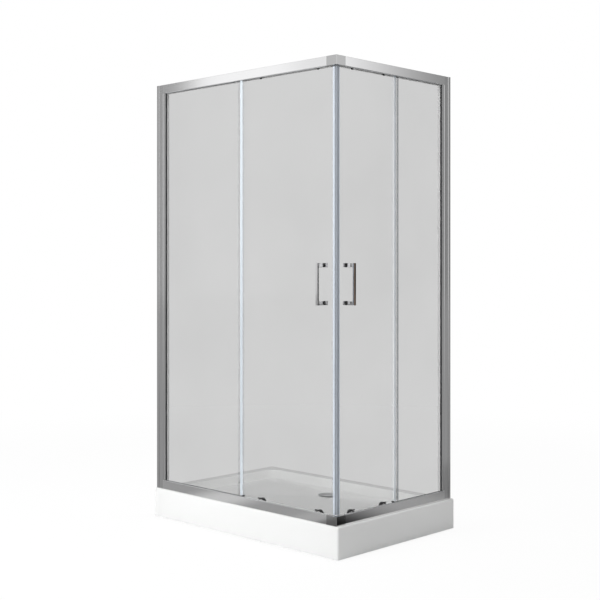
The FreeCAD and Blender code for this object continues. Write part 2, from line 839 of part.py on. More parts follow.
def door_handle():
    """The square pull: a bar with a leg at each end."""
    outer, back, foot = handle_faces()
    u = (handle_from_corner - handle_width / 2, handle_from_corner + handle_width / 2)
    z = (handle_z - handle_length / 2, handle_z + handle_length / 2)
    block = slab(u, (outer, foot), z)
    gap_z = (z[0] + handle_leg_height, z[1] - handle_leg_height)
    block = block.cut(slab((u[0] - 1, u[1] + 1), (back, foot + 1), gap_z))
    block = softened(block, handle_edge_radius, lambda edge: edge.BoundBox.YMax < foot - 1e-6
                     or runs_along(edge, 1))
    hole_radius = handle_stud_radius + handle_stud_gap
    depth = handle_stud_depth + handle_stud_gap
    for height in handle_heights():
        block = block.cut(pin(hole_radius, handle_from_corner, (foot - depth, foot + 1), height))
    return block


def handle_grommets():
    """Black sleeves through the glass, with a flange on each face."""
    grommets = []
    half = handle_width / 2 - grommet_inset
    tall = handle_leg_height / 2 - grommet_inset
    u = (handle_from_corner - half, handle_from_corner + half)
    for height in handle_heights():
        z = (height - tall, height + tall)
        outer = slab(u, (door_w[0] - grommet_flange, door_w[0]), z)
        inner = slab(u, (door_w[1], door_w[1] + grommet_flange), z)
        sleeve = pin(grommet_sleeve_radius, handle_from_corner, door_w, height)
        whole_w = (door_w[0] - 2 * grommet_flange, door_w[1] + 2 * grommet_flange)
        bore = pin(handle_stud_radius + handle_stud_gap, handle_from_corner, whole_w, height)
        grommets.append(joined([outer, sleeve, inner]).cut(bore))
    return grommets


def handle_knobs():
    """The short stubs inside the cabin, with the studs that hold the handle."""
    knobs = []
    u = (handle_from_corner - handle_width / 2, handle_from_corner + handle_width / 2)
    start = door_w[1] + grommet_flange
    _, _, foot = handle_faces()
    for height in handle_heights():
        z = (height - handle_leg_height / 2, height + handle_leg_height / 2)
        block = slab(u, (start, start + knob_length), z)
        block = softened(block, knob_edge_radius, lambda edge: edge.BoundBox.YMin > start + 1e-6
                         or runs_along(edge, 1))
        stud = pin(handle_stud_radius, handle_from_corner, (foot - handle_stud_depth, start), height)
        knobs.append(joined([block, stud]))
    return knobs


# Rollers
def wheel(u, z):
    """A grooved roller that runs on a track, with a bore for its axle."""
    low, high = wheel_w
    half_groove = track_thickness / 2 + track_gap
    bore = axle_radius + axle_running_gap
    rim = wheel_radius - wheel_rim - wheel_groove_depth
    bevel = wheel_recess_depth / 2
    points = [(bore, low), (wheel_hub_radius, low), (wheel_hub_radius, low + wheel_recess_depth),
              (rim, low + wheel_recess_depth), (rim, low), (wheel_radius - bevel, low),
              (wheel_radius, low + bevel), (wheel_radius, wheel_mid - half_groove - bevel),
              (tread_radius, wheel_mid - half_groove), (tread_radius, wheel_mid + half_groove),
              (wheel_radius, wheel_mid + half_groove + bevel), (wheel_radius, high - bevel),
              (wheel_radius - bevel, high), (rim, high), (rim, high - wheel_recess_depth),
              (wheel_hub_radius, high - wheel_recess_depth), (wheel_hub_radius, high), (bore, high)]
    return turned(points, u, z)


def upper_axle(u):
    """The hanger of an upper wheel: cap, bolt through the glass, plate, axle and head."""
    z = upper_wheel_z
    plate_w = (door_w[1], door_w[1] + plate_thickness)
    width = (u - plate_half_width, u + plate_half_width)
    round_z = z - plate_drop + plate_half_width
    plate = joined([slab(width, plate_w, (round_z, z + plate_rise)),
                    pin(plate_half_width, u, plate_w, round_z)])
    wheel_end = wheel_w[1] + track_gap
    cap = pin(bolt_cap_radius, u, (door_w[0] - bolt_cap, door_w[0]), z)
    bolt = pin(bolt_radius, u, door_w, z)
    shoulder = pin(axle_head_radius, u, (plate_w[1], wheel_w[0] - track_gap), z)
    axle = pin(axle_radius, u, (plate_w[1], wheel_end), z)
    head = pin(axle_head_radius, u, (wheel_end, wheel_end + axle_head), z)
    return joined([plate, cap, bolt, shoulder, axle, head])


def housing_radii():
    """Inner and outer radius of the lower housing, which leaves the wheel room to lift."""
    inner = wheel_radius + release_travel + fit_clearance
    return inner, inner + housing_wall


def ear_places(u):
    """Where the housing's two screws stand."""
    inner, _ = housing_radii()
    offset = inner + ear_reach / 2
    return u - offset, u + offset


def ear_screw_z():
    """The height of the housing's screws."""
    return lower_wheel_z - housing_cut - ear_height / 2 + housing_wall


def carrier_span():
    """The carrier plate's place on w, and the inside of the housing's front."""
    start = wheel_w[1] + track_gap
    return start, start + carrier_plate, start + carrier_plate + fit_clearance


def lever_levels():
    """Low and high level of the release lever, over the wheel."""
    low = lower_wheel_z + wheel_radius - lever_height / 2
    return low, low + lever_height


def lower_housing(u):
    """The half-round hood over a lower wheel, open on the far side where the lever leaves."""
    z = lower_wheel_z
    inner, outer = housing_radii()
    start, _, front = carrier_span()
    w = (door_w[1], front + housing_front)
    ring = pin(outer, u, w, z).cut(pin(inner, u, (door_w[1] - 1, front), z))
    keep = slab((u - outer, u + outer), w, (z - housing_cut, z + outer))
    hood = ring.common(keep)
    lever_low, _ = lever_levels()
    slot_z = (lever_low - fit_clearance, z + outer + 1)
    slot = slab((u + carrier_half_width / 2, u + outer + 1), (door_w[1] - 1, front), slot_z)
    pieces = [hood.cut(slot)]
    half = carrier_half_width + fit_clearance
    rib_z = (z - housing_cut, z + wheel_radius / 2)
    pieces.append(slab((u - half - guide_rib, u - half), (start, front), rib_z))
    pieces.append(slab((u + half, u + half + guide_rib), (start, front), rib_z))
    screw_z = ear_screw_z()
    ear_z = (screw_z - ear_height / 2, screw_z + ear_height / 2)
    for sign, place in zip((-1, 1), ear_places(u)):
        near = place - sign * ear_reach / 2
        far = place + sign * ear_reach / 2
        ear = slab((min(near, far), max(near, far)), (door_w[1], door_w[1] + ear_thickness), ear_z)
        pieces.append(ear)
    housing = joined(pieces)
    for place in ear_places(u):
        hole = pin(ear_screw_radius + glass_hole_gap, place, (door_w[1] - 1, front), screw_z)
        housing = housing.cut(hole)
    return housing


def housing_screws(u):
    """Screw and nut through the glass and each ear."""
    screws = []
    z = ear_screw_z()
    back = door_w[1] + ear_thickness
    for place in ear_places(u):
        head = pin(ear_head_radius, place, (door_w[0] - ear_head, door_w[0]), z)
        shank = pin(ear_screw_radius, place, (door_w[0], back), z)
        nut = pin(ear_head_radius, place, (back, back + ear_head), z)
        screws.append(joined([head, shank, nut]))
    return screws


def release_carrier(u):
    """The plate with the axle of a lower wheel and the lever that lifts both off the track."""
    z = lower_wheel_z
    start, end, _ = carrier_span()
    lever_low, lever_high = lever_levels()
    plate = slab((u - carrier_half_width, u + carrier_half_width), (start, end),
                 (z - carrier_below_axle, z + carrier_above_axle))
    head_w = (wheel_w[0] - track_gap - axle_head, wheel_w[0] - track_gap)
    axle = pin(axle_radius, u, (head_w[0], start), z)
    head = pin(axle_head_radius, u, head_w, z)
    arm_start = u + carrier_half_width / 2 + fit_clearance
    arm = slab((arm_start, u + lever_reach), (start, end), (lever_low, lever_high))
    root = slab((arm_start, u + carrier_half_width + guide_rib), (start, end),
                (lever_high - lever_root_height, lever_high))
    _, outer = housing_radii()
    tab_w = (end - lever_depth, end)
    tab = slab((u + outer - housing_wall, u + lever_reach), tab_w, (lever_low, lever_high))
    tab = softened(tab, fin_thickness, lambda edge: edge.BoundBox.XMin > u + lever_reach - 1e-6)
    return joined([plate, axle, head, arm, root, tab])


# Small parts
def door_buffer(s):
    """The rubber stop in the head that ends the door's travel."""
    start = s.rollers["rear"] + s.travel + wheel_radius + buffer_gap
    w = (door_w[1] + buffer_gap, rail_depth - rail_wall)
    top = frame_top - rail_wall
    return slab((start, start + buffer_length), w, (top - buffer_height, top))


def frame_screws(s):
    """Screws from the post into the rails, and from the channel into the post."""
    screws = []
    wall = s.length - post_reach + rail_wall
    for height in (frame_low + screw_port_height, frame_top - screw_port_height):
        shank = bar(screw_radius, (wall - rail_wall - rail_screw_length, wall), port_centre(), height)
        head = bar(screw_head_radius, (wall, wall + screw_head), port_centre(), height)
        screws.append(joined([shank, head]))
    u = s.length - post_screw_inset
    for height in post_screw_heights():
        shank = pin(screw_radius, u, (rail_depth - post_screw_length, rail_depth), height)
        head = pin(screw_head_radius, u, (rail_depth, rail_depth + screw_head), height)
        screws.append(joined([shank, head]))
    return screws


def screw_caps(s):
    """The round caps over the screws of the channel."""
    caps = []
    u = s.length - post_screw_inset
    inner = screw_head_radius + screw_hole_gap
    top = rail_depth + cap_height
    points = [(inner, rail_depth), (cap_radius, rail_depth), (cap_radius, top - cap_wall),
              (cap_radius - cap_wall, top), (0, top), (0, rail_depth + screw_head + screw_hole_gap),
              (inner, rail_depth + screw_head + screw_hole_gap)]
    for height in post_screw_heights():
        caps.append(turned(points, u, height))
    return caps


# Build
os.makedirs("parts", exist_ok=True)

write("shower_tray", [tray()])
write("tray_support_board", [support_board()])
foot_rods, foot_nuts, foot_pads = feet()
write("tray_foot_rods", foot_rods)
write("tray_foot_nuts", foot_nuts)
write("tray_foot_pads", foot_pads)
write("waste_flange", [waste_flange()])
write("waste_seal", [waste_seal()])
write("waste_trap", [waste_trap()])
write("hair_strainer", [hair_strainer()])
write("waste_cover", [waste_cover()])
write("corner_block_bottom", [front.place(bottom_block())])
write("corner_block_top", [front.place(top_block())])

for s in sides:
    write("wall_channel_" + s.name, [s.place(wall_channel(s))])
    write("wall_post_" + s.name, [s.place(wall_post(s))])
    write("bottom_rail_" + s.name, [s.place(bottom_rail(s))])
    write("top_rail_" + s.name, [s.place(top_rail(s))])
    write("fixed_glass_" + s.name, [s.place(fixed_glass(s))])
    write("glazing_gaskets_" + s.name, [s.place(strip) for strip in glazing_gaskets(s)])
    write("fixed_edge_seal_" + s.name, [s.place(fixed_edge_seal(s))])
    write("door_glass_" + s.name, [s.place(door_glass(s))])
    write("magnet_seal_" + s.name, [s.place(magnet_seal())])
    write("trailing_seal_" + s.name, [s.place(trailing_seal(s))])
    write("door_handle_" + s.name, [s.place(door_handle())])
    write("handle_grommets_" + s.name, [s.place(piece) for piece in handle_grommets()])
    write("handle_knobs_" + s.name, [s.place(piece) for piece in handle_knobs()])
    places = s.rollers.items()
    write("upper_roller_hangers_" + s.name, [s.place(upper_axle(u)) for _, u in places])
    write("lower_roller_housings_" + s.name, [s.place(lower_housing(u)) for _, u in places])
    write("housing_screws_" + s.name,
          [s.place(piece) for _, u in places for piece in housing_screws(u)])
    for end, u in places:
        write("upper_wheel_" + s.name + "_" + end, [s.place(wheel(u, upper_wheel_z))])
        write("lower_wheel_" + s.name + "_" + end, [s.place(wheel(u, lower_wheel_z))])
        write("release_carrier_" + s.name + "_" + end, [s.place(release_carrier(u))])

write("seam_guides", [s.place(seam_guide(s)) for s in sides])
write("door_buffers", [s.place(door_buffer(s)) for s in sides])
write("frame_screws", [s.place(piece) for s in sides for piece in frame_screws(s)])
write("screw_caps", [s.place(piece) for s in sides for piece in screw_caps(s)])

for s in sides:
    print(s.name, "door travel", round(s.travel, 2))
print("turns per metre of travel, in radians", round(1000 / tread_radius, 4))
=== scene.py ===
from math import pi, radians

import bmesh
import bpy
from mathutils import Matrix, Vector


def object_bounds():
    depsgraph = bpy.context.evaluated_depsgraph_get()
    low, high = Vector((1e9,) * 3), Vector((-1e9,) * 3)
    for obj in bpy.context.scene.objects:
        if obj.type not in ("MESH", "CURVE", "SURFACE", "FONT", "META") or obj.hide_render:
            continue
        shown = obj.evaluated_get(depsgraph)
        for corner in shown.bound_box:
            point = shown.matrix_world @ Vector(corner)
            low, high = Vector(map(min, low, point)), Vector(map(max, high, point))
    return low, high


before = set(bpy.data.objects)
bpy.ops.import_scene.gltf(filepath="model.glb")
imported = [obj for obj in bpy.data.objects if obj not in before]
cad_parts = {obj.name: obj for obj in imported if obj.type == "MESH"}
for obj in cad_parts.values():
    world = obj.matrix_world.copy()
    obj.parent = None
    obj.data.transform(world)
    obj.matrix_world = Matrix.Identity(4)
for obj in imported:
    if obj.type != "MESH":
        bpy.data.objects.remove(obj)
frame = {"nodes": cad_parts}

bl_info = {
    "name": "Shower Enclosure",
    "version": (1, 0, 0),
    "blender": (4, 5, 0),
    "location": "View3D > Sidebar > Shower",
    "description": "Dresses a corner shower enclosure with two sliding doors",
    "category": "Object",
}

# Blender units are metres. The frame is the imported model, which stays where it is.
CAD_BOX = [list(corner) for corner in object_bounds()]
# Each glazed side, with the axis that it runs along and the axis across it
SIDES = {"front": ("X", "Y"), "side": ("Y", "X")}
ENDS = ("lead", "rear")

# Places where a finish changes, as distances inwards along X or Y from the outer corner of the rails
# The insides of rails and posts are painted pale, a painted light against the shade in their hollows
RAIL_INSIDE = (0.0013, 0.0415)
POST_INSIDE = (0.0052, 0.0415)
EDGE_SEAL_FACE = (0.0045, 0.007)
GASKET_LIP = (0.0042, 0.0048)
AXLE_END = (0.03, 0.0297)
DEEP_SEAL_FACE = (0.011, 0.0175)
CORNER_SEAL_FACE = {"front": (0.011, 0.035), "side": (0.015, 0.041)}
CORNER_SEAL_VEIN = {"front": (0.011, 0.0255), "side": (0.0262, 0.0322)}
# Faces of each grip painted darker, a painted dark reflection: for each place an axis and two distances
# inwards along it
GRIP_PAINTED_REFLECTION = {"front": (("X", 0.081, 0.0895), ("Y", -0.025, -0.0095)),
              "side": (("X", -0.029, -0.019),)}
# Past the free edge of the fixed pane, where the door's pane begins to be clearer and where it fully is
LAP_EDGE = (0.008, 0.011)
# Below the top rail, where the gaskets' lip begins to fade and where it ends
LIP_GAP = (0.0018, 0.0014)

# Brightness of the surround as a light, and as metal mirrors it before its darker parts
LIGHT_LEVEL = 0.34
MIRROR_LEVEL = 1.05
# Parts of the surround that metal mirrors darker: how dark, turn from, to and soft edge in degrees, and
# rise from, to and soft edge where the part has one
SURROUND_SHADES = (
    (0.66, (-175.0, -139.7, 0.9), None),
    (0.78, (50.4, 100.0, 4.4), None),
    (0.94, (47.4, 51.0, 0.3), (-0.5, 0.1, 0.04)),
    (0.5, (100.0, 172.0, 8.0), (0.08, 0.5, 0.06)),
)
# The part at the camera's left: how dark, and the turns over which it begins and ends
LEFT_DARK = 0.17
LEFT_FROM = (-135.0, -133.9)
LEFT_TO = (-100.0, -90.0)
# Near the floor it is darker again: how dark, and rise from, to and soft edge
LEFT_LOW_DARK = 0.28
LEFT_LOW = (-0.5, 0.08, 0.04)
# Overhead: how dark, and the rise over which it begins
OVERHEAD_DARK = 0.45
OVERHEAD = (0.45, 0.9)
# The floor as metal mirrors it, and how much paler it is far out towards the camera
FLOOR_LEVEL = 0.35
FLOOR_FAR = 0.32
# Paler and darker patches that metal mirrors from the floor: change, X and Y from, to and soft edge
FLOOR_PATCHES = (
    (0.27, (-0.84, -0.53, 0.12), (-1.3, -0.6, 0.1)),
    (0.07, (-0.12, 0.03, 0.05), (-1.3, -0.6, 0.1)),
    (-0.17, (0.05, 0.6, 0.03), (-1.3, -0.6, 0.1)),
    (-0.35, (0.7, 1.6, 0.15), (-0.4, 0.34, 0.28)),
    (-0.1, (0.7, 1.6, 0.15), (0.95, 2.0, 0.15)),
)
# Lamps: place, what it is aimed at, size, and power as a share of the main power
LAMPS = {"lamp_key": ((-0.9, -4.2, 2.6), (0.0, 0.0, 0.7), 3.0, 1.62),
         "lamp_side": ((4.4, 0.4, 2.6), (0.3, 0.0, 0.9), 2.4, 0.02),
         "lamp_top": ((0.0, 0.2, 4.6), (0.0, 0.0, 0.0), 2.2, 1.5)}
CAMERA_PLACE = (3.683, -3.809, 1.225)
CAMERA_TURN = 44.05
CAMERA_SHIFT = -0.058


def box_of(node):
    """Lowest and highest corner of a node."""
    points = [vertex.co for vertex in frame["nodes"][node].data.vertices]
    return [[pick(point[axis] for point in points) for axis in range(3)] for pick in (min, max)]


# The outer corner of the rails in plan, and the underside of the top rails
CORNER_X = box_of("bottom_rail_side")[1][0]
CORNER_Y = box_of("bottom_rail_front")[0][1]
OPENING_TOP = box_of("top_rail_front")[0][2]


def free_edge(side):
    """How far inwards the fixed pane of a side begins."""
    low, high = box_of("fixed_glass_" + side)
    return CORNER_X - high[0] if SIDES[side][0] == "X" else low[1] - CORNER_Y


# Materials

class Number:
    """A number on a socket. Python arithmetic on it adds Math nodes."""

    def __init__(self, finish, socket):
        self.finish = finish
        self.socket = socket

    def maths(self, operation, first, second):
        return self.finish.maths(operation, first, second)

    def __add__(self, other):
        return self.maths("ADD", self, other)

    def __sub__(self, other):
        return self.maths("SUBTRACT", self, other)

    def __rsub__(self, other):
        return self.maths("SUBTRACT", other, self)

    def __mul__(self, other):
        return self.maths("MULTIPLY", self, other)

    def most(self, other):
        return self.maths("MAXIMUM", self, other)

    __radd__ = __add__
    __rmul__ = __mul__


class Shading:
    """The nodes of one material or surround."""

    def __init__(self, owner):
        owner.use_nodes = True
        self.tree = owner.node_tree
        self.tree.nodes.clear()

    def add(self, kind, settings, sockets, output=0):
        """One node: its settings first, then the values or links of its sockets."""
        node = self.tree.nodes.new(kind)
        for name, value in settings.items():
            if name == "stops":
                self.set_stops(node.color_ramp, value)
            else:
                setattr(node, name, value)
        for name, value in sockets.items():
            self.feed(node.inputs[name], value)
        return node if output is None else Number(self, node.outputs[output])

    def maths(self, operation, first, second):
        """A Math node."""
        return self.add("ShaderNodeMath", {"operation": operation}, {0: first, 1: second})

    def set_stops(self, ramp, stops):
        """The places and colours of a ramp."""
        while len(ramp.elements) < len(stops):
            ramp.elements.new(1.0)
        for element, (place, colour) in zip(ramp.elements, stops):
            element.position = place
            element.color = colour

    def feed(self, socket, value):
        """Link or set one socket."""
        if isinstance(value, Number):
            self.tree.links.new(value.socket, socket)
        else:
            socket.default_value = value

    def ramp(self, share, *stops):
        """A colour ramp."""
        return self.add("ShaderNodeValToRGB", {"stops": stops}, {"Fac": share}, "Color")

    def ray(self, kind):
        """1 for that kind of ray."""
        return self.add("ShaderNodeLightPath", {}, {}, "Is " + kind + " Ray")

    def band(self, value, low, high, soft):
        """1 between low and high, falling to 0 over a soft edge."""
        rise = self.ease(value, low - soft, low + soft)
        return rise * (1.0 - self.ease(value, high - soft, high + soft))

    def ease(self, value, low, high):
        """From 0 at low to 1 at high."""
        return self.add("ShaderNodeMapRange", {"interpolation_type": "SMOOTHSTEP"},
                        {"Value": value, "From Min": low, "From Max": high}, "Result")


class Finish(Shading):
    """A material for one kind of surface, built from nodes on the piece's own coordinates."""

    def __init__(self, name, **surface):
        self.material = bpy.data.materials.new(name)
        super().__init__(self.material)
        shader = self.add("ShaderNodeBsdfPrincipled", {}, surface)
        self.shader = shader
        self.surface = shader.socket.node
        self.output = self.add("ShaderNodeOutputMaterial", {}, {"Surface": shader}, None)
        self.place = self.add("ShaderNodeTexCoord", {}, {}, "Object")

    def set(self, **sockets):
        """Sockets of the surface shader, with _ for a space in a name."""
        for name, value in sockets.items():
            self.feed(self.surface.inputs[name.replace("_", " ")], value)

    def stretched(self, scale):
        """The piece's coordinates, scaled for a grain along one direction."""
        return self.add("ShaderNodeMapping", {}, {"Vector": self.place, "Scale": scale})

    def mixed(self, share, first, second):
        """A mix of two shaders."""
        return self.add("ShaderNodeMixShader", {}, {0: share, 1: first, 2: second})

    def noise(self, scale, detail, vector=None, roughness=0.5):
        """Cloudy noise from 0 to 1 about 0.5."""
        sockets = {"Vector": vector or self.place, "Scale": scale, "Detail": detail,
                   "Roughness": roughness}
        return self.add("ShaderNodeTexNoise", {}, sockets, "Fac")

    def cells(self, scale, vector):
        """Distance to the middle of the nearest cell."""
        return self.add("ShaderNodeTexVoronoi", {}, {"Vector": vector, "Scale": scale}, "Distance")

    def along(self, axis):
        """The coordinate along X, Y or Z."""
        return self.add("ShaderNodeSeparateXYZ", {}, {"Vector": self.place}, "XYZ".index(axis))

    def inwards(self, axis):
        """The distance inwards from the rails' outer corner, along X or Y."""
        if axis == "X":
            return CORNER_X - self.along("X")
        return self.along("Y") - CORNER_Y

    def reach(self):
        """The distance from the middle of the floor."""
        return self.add("ShaderNodeVectorMath", {"operation": "LENGTH"}, {0: self.place}, "Value")

    def between(self, share, first, second):
        """A colour from first to second."""
        node = self.add("ShaderNodeMix", {"data_type": "RGBA"}, {"Factor": share}, 2)
        self.feed(node.socket.node.inputs[6], first)
        self.feed(node.socket.node.inputs[7], second)
        return node

    def bump(self, height, depth, strength):
        """Relief, in metres, on the surface."""
        self.set(Normal=self.add("ShaderNodeBump", {},
                                 {"Height": height, "Distance": depth, "Strength": strength}))


def shade(colour, share):
    """A colour made darker or lighter."""
    return (*[min(1.0, channel * share) for channel in colour[:3]], 1.0)


def grey(value):
    """A neutral colour."""
    return (value, value, value, 1.0)


def acrylic(name, colour):
    """Glossy sanitary acrylic with a slight sag in its gloss."""
    finish = Finish(name, **{"IOR": 1.49, "Coat Weight": 0.35, "Coat Roughness": 0.04})
    cloud = finish.noise(3.0, 3.0)
    peel = finish.noise(55.0, 2.0)
    finish.set(Base_Color=finish.between(cloud, shade(colour, 0.985), shade(colour, 1.01)),
               Roughness=0.13 + 0.1 * finish.noise(9.0, 4.0))
    finish.bump(peel + 0.35 * finish.noise(240.0, 2.0), 0.0004, 0.1)
    return finish.material


def metal(name, colour, roughness, grain, streak, drawn="", inside=None):
    """Metal with fine lines along the axis that it was drawn along, matte on its inside and painted pale
    there, a painted light that lifts the shade in its hollows.

    The inside is an axis and two distances inwards along it."""
    finish = Finish(name, Metallic=1.0)
    scale = [grain, grain, grain]
    for axis in drawn:
        scale["XYZ".index(axis)] = grain / 80.0
    lines = finish.noise(1.0, 3.0, finish.stretched(tuple(scale)), 0.65)
    cloud = finish.noise(5.0, 2.0)
    tone = finish.between(lines * 0.6 + cloud * 0.4,
                          shade(colour, 1.0 - streak), shade(colour, 1.0 + streak))
    rough = roughness * (0.75 + 0.5 * lines)
    finish.set(Base_Color=tone, Roughness=rough)
    if inside:
        axis, low, high = inside
        # Painted light: the inside is made matte and painted pale grey to lift the shade in the hollows
        # of rails and posts
        painted_inside_light = finish.band(finish.inwards(axis), low, high, 0.0001)
        finish.set(Base_Color=finish.between(painted_inside_light, tone, grey(0.93)), Metallic=1.0 - 0.9 * painted_inside_light,
                   Roughness=rough + 0.4 * painted_inside_light)
    finish.bump(lines, 0.0002, 0.12)
    return finish.material


def handle_chrome(name, colour, painted_reflection, places):
    """Polished chrome, painted darker where all the places overlap, a painted dark reflection on faces of
    the grips.

    A place is an axis and two distances inwards along it."""
    finish = Finish(name, Metallic=1.0)
    smear = finish.noise(40.0, 3.0)
    # Painted reflection: the chrome is painted darker where the places overlap
    painted_reflection_share = 1.0
    for axis, low, high in places:
        painted_reflection_share = painted_reflection_share * finish.band(finish.inwards(axis), low, high, 0.0003)
    finish.set(Base_Color=finish.between(painted_reflection_share, colour, painted_reflection), Roughness=0.04 + 0.04 * smear)
    return finish.material


def polished_metal(name, colour, roughness):
    """Bright metal with smears and faint polishing lines."""
    finish = Finish(name, Metallic=1.0)
    lines = finish.noise(900.0, 1.0, finish.stretched((0.05, 1.0, 0.05)))
    smear = finish.noise(24.0, 3.0)
    finish.set(Base_Color=finish.between(smear, shade(colour, 0.94), shade(colour, 1.03)),
               Roughness=roughness + 0.06 * smear + 0.03 * lines)
    finish.bump(lines, 0.0001, 0.05)
    return finish.material


def moulded(name, colour, roughness, grain):
    """Moulded plastic or rubber with a fine grain and slight wear."""
    finish = Finish(name)
    speck = finish.noise(grain, 3.0, None, 0.6)
    cloud = finish.noise(14.0, 3.0)
    finish.set(Base_Color=finish.between(cloud, shade(colour, 0.85), shade(colour, 1.2)),
               Roughness=roughness + 0.16 * cloud)
    finish.bump(speck, 0.0002, 0.3)
    return finish.material


def black_with_axle(name, colour, axis):
    """Black moulded plastic whose axle end is bright steel."""
    finish = Finish(name)
    speck = finish.noise(900.0, 3.0, None, 0.6)
    steel = finish.ease(finish.inwards(axis), *AXLE_END)
    finish.set(Base_Color=finish.between(steel, shade(colour, 1.0), grey(0.75)), Metallic=steel,
               Roughness=0.46 - 0.2 * steel + 0.1 * speck)
    finish.bump(speck, 0.0001, 0.3)
    return finish.material


def lipped_gasket(name, axis, colour, dark):
    """Grey extruded gasket with a black lip on the cabin's side, up to the top rail."""
    finish = Finish(name)
    speck = finish.noise(700.0, 3.0, None, 0.6)
    fade, end = [OPENING_TOP - gap for gap in LIP_GAP]
    lip = finish.ease(finish.inwards(axis), *GASKET_LIP)
    lip = lip * (1.0 - finish.ease(finish.along("Z"), fade, end))
    tone = finish.between(lip * (0.92 + 0.08 * speck), shade(colour, 1.0), shade(dark, 1.0))
    finish.set(Base_Color=tone, Roughness=0.42 + 0.15 * speck)
    finish.bump(speck, 0.0001, 0.3)
    return finish.material


def clear_pane(name, colour, cover, side=None):
    """Toughened glass with a faint film of water marks, clearer where a side's door laps its fixed pane.

    Light and reflections pass it with less loss."""
    finish = Finish(name, **{"IOR": 1.5})
    film = finish.noise(2.2, 4.0)
    marks = finish.noise(16.0, 6.0, finish.stretched((1.0, 1.0, 0.25)), 0.7)
    light = finish.ray("Glossy").most(finish.ray("Shadow")).most(finish.ray("Diffuse"))
    solid = (cover + 0.05 * (film - 0.5)) * (1.0 - 0.7 * light)
    if side:
        start, end = [free_edge(side) + reach for reach in LAP_EDGE]
        solid = solid * (1.0 - 0.85 * finish.ease(finish.inwards(SIDES[side][0]), start, end))
    finish.set(Base_Color=finish.between(film, shade(colour, 0.9), shade(colour, 1.1)),
               Roughness=0.02 + 0.06 * marks, Alpha=solid)
    return finish.material


def clear_strip(name, colour, pale, dark, cover, sheen, face=None, vein=None):
    """Extruded clear plastic with lines down its length, milky on its face and dark along its vein.

    Pale and dark are shares of the colour. A face or vein is an axis and two distances inwards."""
    finish = Finish(name, **{"IOR": 1.53, "Metallic": sheen})
    lines = finish.noise(1.0, 3.0, finish.stretched((620.0, 620.0, 1.5)), 0.6)
    columns = finish.noise(1.0, 1.0, finish.stretched((150.0, 150.0, 0.3)))
    share = finish.ease(columns * 0.65 + lines * 0.35, 0.32, 0.68)
    if vein:
        axis, low, high = vein
        share = 0.75 + 0.25 * share - finish.band(finish.inwards(axis), low, high, 0.0008)
    thick = cover + 0.2 * (lines - 0.5)
    if face:
        axis, low, high = face
        thick = thick * (0.16 + 0.84 * finish.band(finish.inwards(axis), low, high, 0.0005))
    finish.set(Base_Color=finish.between(share, shade(colour, dark), shade(colour, pale)),
               Roughness=0.16 + 0.12 * finish.noise(60.0, 3.0), Alpha=thick)
    finish.bump(lines, 0.0004, 0.25)
    return finish.material


def chipboard(name):
    """Pressed chips of pale and dark wood."""
    finish = Finish(name, Roughness=0.8)
    chips = finish.cells(210.0, finish.stretched((1.0, 0.45, 1.0)))
    cloud = finish.noise(70.0, 4.0)
    finish.set(Base_Color=finish.ramp(chips * 0.7 + cloud * 0.5, (0.2, (0.25, 0.17, 0.1, 1.0)),
                                      (0.5, (0.5, 0.37, 0.23, 1.0)), (0.8, (0.68, 0.55, 0.38, 1.0))))
    finish.bump(chips, 0.0008, 0.5)
    return finish.material


def dress(material, *nodes):
    """Give one material to all faces of these nodes."""
    for name in nodes:
        mesh = frame["nodes"][name].data
        mesh.materials.clear()
        mesh.materials.append(material)


def both(*names):
    """The nodes' names on both sides."""
    return [name + "_" + side for name in names for side in SIDES]


# Settings

class ShowerSizes(bpy.types.PropertyGroup):
    """Sizes that a user would change."""
    lens: bpy.props.FloatProperty(name="Lens", description="Focal length of the camera in millimetres",
                                  default=66.8, min=20.0, max=200.0)
    floor_size: bpy.props.FloatProperty(name="Floor", description="Side of the studio floor",
                                        default=60.0, unit="LENGTH")


class ShowerColours(bpy.types.PropertyGroup):
    """Colours and light that a user would change."""
    acrylic: bpy.props.FloatVectorProperty(name="Tray", description="Colour of the acrylic tray",
                                           subtype="COLOR", default=(0.88, 0.885, 0.88))
    frame: bpy.props.FloatVectorProperty(name="Frame", description="Colour of the aluminium profiles",
                                         subtype="COLOR", default=(0.86, 0.86, 0.865))
    glass: bpy.props.FloatVectorProperty(name="Glass", description="Tint of the glass",
                                         subtype="COLOR", default=(0.03, 0.032, 0.032))
    glass_cover: bpy.props.FloatProperty(name="Glass cover", subtype="FACTOR", default=0.225,
                                         description="Share of the glass that is not seen through")
    seal: bpy.props.FloatVectorProperty(name="Seals", description="Colour of the clear seals",
                                        subtype="COLOR", default=(0.5, 0.545, 0.61))
    lamp: bpy.props.FloatProperty(name="Lamps", description="Main power, of which each lamp has a share",
                                  default=83.0, unit="POWER")


# Operators

class SHOWER_OT_tray(bpy.types.Operator):
    """Dress the acrylic tray"""
    bl_idname = "shower.tray"
    bl_label = "Tray"

    def execute(self, context):
        colours = context.scene.shower_colours
        dress(acrylic("sanitary_acrylic", tuple(colours.acrylic)), "shower_tray")
        return {"FINISHED"}


class SHOWER_OT_supports(bpy.types.Operator):
    """Dress the board and the feet under the tray"""
    bl_idname = "shower.supports"
    bl_label = "Board and feet"

    def execute(self, context):
        zinc = metal("zinc_plate", (0.6, 0.6, 0.58), roughness=0.38, grain=260.0, streak=0.12, drawn="Z")
        dress(chipboard("chipboard"), "tray_support_board")
        dress(zinc, "tray_foot_rods", "tray_foot_nuts", "frame_screws")
        pad = moulded("foot_pad_plastic", (0.03, 0.03, 0.032), roughness=0.5, grain=900.0)
        dress(pad, "tray_foot_pads")
        return {"FINISHED"}


